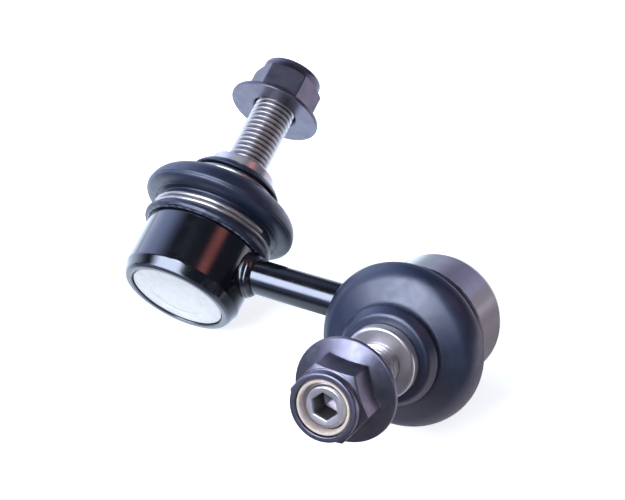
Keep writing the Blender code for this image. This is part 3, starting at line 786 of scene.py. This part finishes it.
nylon, tree, shader, place = finish_nodes("nylon")
bruise = mottle(tree, place, 700.0, 0.0, 1.0, 4.0)
tree.links.new(tint(tree, bruise, (0.66, 0.55, 0.50), (0.74, 0.66, 0.64)), shader.inputs["Base Color"])
tree.links.new(mottle(tree, place, 900.0, 0.30, 0.42), shader.inputs["Roughness"])
shader.inputs["Subsurface Weight"].default_value = 0.15
shader.inputs["Subsurface Radius"].default_value = (0.0006, 0.0004, 0.0003)
shader.inputs["Subsurface Scale"].default_value = 1.0
relief(tree, shader, mottle(tree, place, 3000.0, 0.0, 1.0), 0.000010)

insert_outline = rounded([
    (LIP_BORE, 0.0089, 0.0003),
    (LIP_BORE, 0.01035, 0.0003),
    (LIP_BORE + 0.00025, 0.0109, 0.0002),
    (0.0057, 0.0109, 0.0002),
    (0.0057, 0.0102, 0.0001),
    (0.0060, 0.0102, 0.0001),
    (0.0060, 0.0083, 0.0001),
    (0.0052, 0.0083, 0.0001),
], steps=5)
for side in "ab":
    lifted = insert_outline + [0.0, nut_face[side]]
    insert = turned("insert_" + side, side, lifted, columns=120)
    insert.data.materials.append(nylon)
    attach(insert, "insert_body_" + side)
    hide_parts("nylon_insert_" + side)


# Studio: a white floor and backdrop, soft lamps, and round them a screen that only reflections
# see. It is dark like the walls of a photo studio, with softboxes and one rust-red strip on it.
scene = bpy.context.scene
middle = np.array([0.0, 0.0, 0.018])
LAMP_DISTANCE = 0.9
SCREEN_RADIUS = 1.3


def heading(azimuth, elevation):
    """Unit vector of a direction: azimuth turns from -Y towards +X, both in degrees."""
    azimuth, elevation = np.broadcast_arrays(np.radians(azimuth), np.radians(elevation))
    level = np.cos(elevation)
    return np.stack([level * np.sin(azimuth), -level * np.cos(azimuth), np.sin(elevation)], axis=-1)


def lamp(name, azimuth, elevation, width, height, watts, colour):
    """A softbox that faces the link. Its mirror image is on the screen instead."""
    data = bpy.data.lights.new(name, "AREA")
    data.shape = "RECTANGLE"
    data.size, data.size_y = width, height
    data.energy = watts
    data.color = colour
    holder = bpy.data.objects.new(name, data)
    back = heading(azimuth, elevation)
    right = np.cross([0.0, 0.0, 1.0], back)
    right = right / np.linalg.norm(right)
    turned_to = np.eye(4)
    turned_to[:3, :3] = np.stack([right, np.cross(back, right), back], axis=1)
    turned_to[:3, 3] = middle + LAMP_DISTANCE * back
    holder.matrix_world = mathutils.Matrix(turned_to.tolist())
    holder.visible_glossy = False
    scene.collection.objects.link(holder)


lamp("front_softbox", -20.0, 42.0, 0.55, 0.40, 6.0, (0.96, 0.98, 1.0))
lamp("left_fill", -100.0, 25.0, 0.40, 0.40, 4.5, (0.62, 0.78, 1.0))
lamp("back_fill", 168.0, 14.0, 0.60, 0.25, 2.5, (0.86, 0.86, 1.0))

# Each light on the screen: the azimuths and the elevations at which it starts, is full, is full
# still and ends, then its colour and its strength.
screen_lights = [
    ((-66.0, -44.0, 2.0, 20.0), (13.0, 32.0, 54.0, 62.0), (0.79, 0.84, 1.0), 9.0),
    ((-44.0, -24.0, 6.0, 24.0), (54.0, 62.0, 76.0, 86.0), (0.80, 0.85, 1.0), 11.0),
    ((-70.0, -50.0, 5.0, 30.0), (-30.0, -20.0, 14.0, 24.0), (0.38, 0.45, 1.0), 0.6),
    ((-160.0, -122.0, -92.0, -70.0), (-30.0, -20.0, 30.0, 70.0), (0.52, 0.62, 1.0), 1.9),
    ((-170.0, -125.0, -92.0, -70.0), (-30.0, -20.0, 3.0, 28.0), (1.0, 0.85, 0.40), 0.4),
    ((88.0, 97.0, 110.0, 124.0), (34.0, 47.0, 50.5, 64.0), (1.0, 0.28, 0.22), 1.6),
    ((136.0, 150.0, 200.0, 201.0), (-30.0, -20.0, 2.0, 14.0), (0.70, 0.66, 1.0), 1.6),
    ((-201.0, -200.0, -156.0, -142.0), (-30.0, -20.0, 2.0, 14.0), (0.70, 0.68, 1.0), 1.3),
]

azimuth = np.linspace(-180.0, 180.0, 73)[:-1]
elevation = np.linspace(-1.5, 90.0, 24)[:, None]
screen = skin("screen", middle + SCREEN_RADIUS * heading(azimuth, elevation))
screen_look = bpy.data.materials.new("screen")
screen_look.use_nodes = True
tree = screen_look.node_tree
tree.nodes.remove(tree.nodes["Principled BSDF"])
# The direction of each point of the screen, seen from the link, as an azimuth and an elevation.
where = tree.nodes.new("ShaderNodeNewGeometry")
offset = tree.nodes.new("ShaderNodeVectorMath")
offset.operation = "SUBTRACT"
offset.inputs[1].default_value = middle
tree.links.new(where.outputs["Position"], offset.inputs[0])
parts = tree.nodes.new("ShaderNodeSeparateXYZ")
tree.links.new(offset.outputs["Vector"], parts.inputs["Vector"])


def arithmetic(tree, operation, first, second):
    """A math node on two sockets or numbers."""
    node = tree.nodes.new("ShaderNodeMath")
    node.operation = operation
    feed(tree, first, node.inputs[0])
    feed(tree, second, node.inputs[1])
    return node.outputs["Value"]


def smooth_ramp(tree, value, start, end, low=0.0, high=1.0):
    """A value that goes smoothly from low at start to high at end."""
    step = tree.nodes.new("ShaderNodeMapRange")
    step.interpolation_type = "SMOOTHSTEP"
    for name, number in zip(("From Min", "From Max", "To Min", "To Max"), (start, end, low, high)):
        step.inputs[name].default_value = number
    tree.links.new(value, step.inputs["Value"])
    return step.outputs["Result"]


def window(tree, angle, starts, full_from, full_to, ends):
    """0 outside two angles, 1 between two others and smooth steps in between."""
    opening = smooth_ramp(tree, angle, starts, full_from)
    closing = smooth_ramp(tree, angle, ends, full_to)
    return arithmetic(tree, "MULTIPLY", opening, closing)


def emission(tree, colour, strength):
    """A glow whose colour and strength are fixed or come from sockets."""
    source = tree.nodes.new("ShaderNodeEmission")
    feed(tree, colour, source.inputs["Color"])
    feed(tree, strength, source.inputs["Strength"])
    return source.outputs["Emission"]


def together(tree, first, second):
    """The sum of two shaders."""
    both = tree.nodes.new("ShaderNodeAddShader")
    tree.links.new(first, both.inputs[0])
    tree.links.new(second, both.inputs[1])
    return both.outputs["Shader"]


level_x, level_y, rise = (parts.outputs[name] for name in "XYZ")
towards_front = arithmetic(tree, "MULTIPLY", level_y, -1.0)
turn_angle = arithmetic(tree, "ARCTAN2", level_x, towards_front)
turn_angle = arithmetic(tree, "MULTIPLY", turn_angle, math.degrees(1.0))
lift_angle = arithmetic(tree, "ARCSINE", arithmetic(tree, "DIVIDE", rise, SCREEN_RADIUS), 0.0)
lift_angle = arithmetic(tree, "MULTIPLY", lift_angle, math.degrees(1.0))
glow = emission(tree, (0.62, 0.70, 1.0), 0.10)
for azimuths, elevations, colour, strength in screen_lights:
    across = window(tree, turn_angle, *azimuths)
    share = arithmetic(tree, "MULTIPLY", across, window(tree, lift_angle, *elevations))
    light = emission(tree, colour, arithmetic(tree, "MULTIPLY", share, strength))
    glow = together(tree, glow, light)
tree.links.new(glow, tree.nodes["Material Output"].inputs["Surface"])
screen.data.materials.append(screen_look)
screen.visible_camera = False
screen.visible_diffuse = False
screen.visible_transmission = False
screen.visible_shadow = False

# The paper is lit beyond white where the link stands, which only the link's reflections show.
# It darkens towards the front and the back, and where the link's own shadow falls.
FLOOR_HALF = 3.0
floor_mesh = bpy.data.meshes.new("floor")
work = bmesh.new()
bmesh.ops.create_grid(work, x_segments=1, y_segments=1, size=FLOOR_HALF)
work.to_mesh(floor_mesh)
work.free()
paper = bpy.data.materials.new("floor_paper")
paper.use_nodes = True
shader = paper.node_tree.nodes["Principled BSDF"]
shader.inputs["Base Color"].default_value = (0.97, 0.97, 0.97, 1.0)
shader.inputs["Roughness"].default_value = 0.9
shader.inputs["Specular IOR Level"].default_value = 0.0
tree = paper.node_tree
place = tree.nodes.new("ShaderNodeNewGeometry").outputs["Position"]
spot = tree.nodes.new("ShaderNodeSeparateXYZ")
tree.links.new(place, spot.inputs["Vector"])
# Each dark spot: its middle, the radii where it is darkest and where it ends, and how dark it is.
dark_spots = [
    ((0.016, 0.010, 0.0), 0.012, 0.052, 0.08),
    ((0.060, 0.030, 0.0), 0.012, 0.080, 0.35),
]
level = smooth_ramp(tree, spot.outputs["Y"], -0.055, 0.008, 0.2, 2.2)
for spot_at, near, far, darkest in dark_spots:
    apart = tree.nodes.new("ShaderNodeVectorMath")
    apart.operation = "DISTANCE"
    apart.inputs[1].default_value = spot_at
    tree.links.new(place, apart.inputs[0])
    shade = smooth_ramp(tree, apart.outputs["Value"], near, far, darkest, 1.0)
    level = arithmetic(tree, "MULTIPLY", level, shade)
level = arithmetic(tree, "MULTIPLY", level, smooth_ramp(tree, spot.outputs["Y"], 0.03, 0.15, 1.0, 0.5))
sideways = smooth_ramp(tree, spot.outputs["X"], 0.005, 0.050)
lit_paper = emission(tree, tint(tree, sideways, (0.72, 0.82, 1.0), (0.98, 0.86, 1.0)), level)
ray = tree.nodes.new("ShaderNodeLightPath")
choose = tree.nodes.new("ShaderNodeMixShader")
tree.links.new(ray.outputs["Is Glossy Ray"], choose.inputs["Fac"])
tree.links.new(shader.outputs["BSDF"], choose.inputs[1])
tree.links.new(lit_paper, choose.inputs[2])
# The camera sees the paper nearly burnt out, with a pale shadow.
burnt = arithmetic(tree, "MULTIPLY", ray.outputs["Is Camera Ray"], 0.70)
bright_paper = emission(tree, (0.98, 0.99, 1.0), burnt)
seen = together(tree, choose.outputs["Shader"], bright_paper)
tree.links.new(seen, tree.nodes["Material Output"].inputs["Surface"])
floor_mesh.materials.append(paper)
floor = bpy.data.objects.new("floor", floor_mesh)
scene.collection.objects.link(floor)

world = bpy.data.worlds.new("studio")
world.use_nodes = True
scene.world = world
tree = world.node_tree
backdrop = tree.nodes["Background"]
backdrop.inputs["Color"].default_value = (1.0, 1.0, 1.0, 1.0)
backdrop.inputs["Strength"].default_value = 1.0
fill = tree.nodes.new("ShaderNodeBackground")
fill.inputs["Color"].default_value = (0.80, 0.86, 1.0, 1.0)
fill.inputs["Strength"].default_value = 0.32
ray = tree.nodes.new("ShaderNodeLightPath")
choose = tree.nodes.new("ShaderNodeMixShader")
# Glossy and transmitted rays see the white as the camera does.
share = ray.outputs["Is Camera Ray"]
for kind in ("Is Glossy Ray", "Is Transmission Ray"):
    share = arithmetic(tree, "MAXIMUM", share, ray.outputs[kind])
tree.links.new(share, choose.inputs["Fac"])
tree.links.new(fill.outputs["Background"], choose.inputs[1])
tree.links.new(backdrop.outputs["Background"], choose.inputs[2])
tree.links.new(choose.outputs["Shader"], tree.nodes["World Output"].inputs["Surface"])

# Camera: placed where the circles of the link's round parts look as they do in the photo.
camera_data = bpy.data.cameras.new("camera")
camera_data.lens = 105.31
camera_data.sensor_width = 36.0
camera = bpy.data.objects.new("camera", camera_data)
right = np.array([0.89024582, 0.45266852, -0.0505331])
back = np.array([0.37882078, -0.67424208, 0.63394986])
placing = np.eye(4)
placing[:3, :3] = np.stack([right, np.cross(back, right), back], axis=1)
placing[:3, 3] = [0.15200198, -0.26744776 + ROD_SHIFT, 0.27995037]
camera.matrix_world = mathutils.Matrix(placing.tolist())
scene.collection.objects.link(camera)
scene.camera = camera
scene.view_settings.view_transform = "Standard"
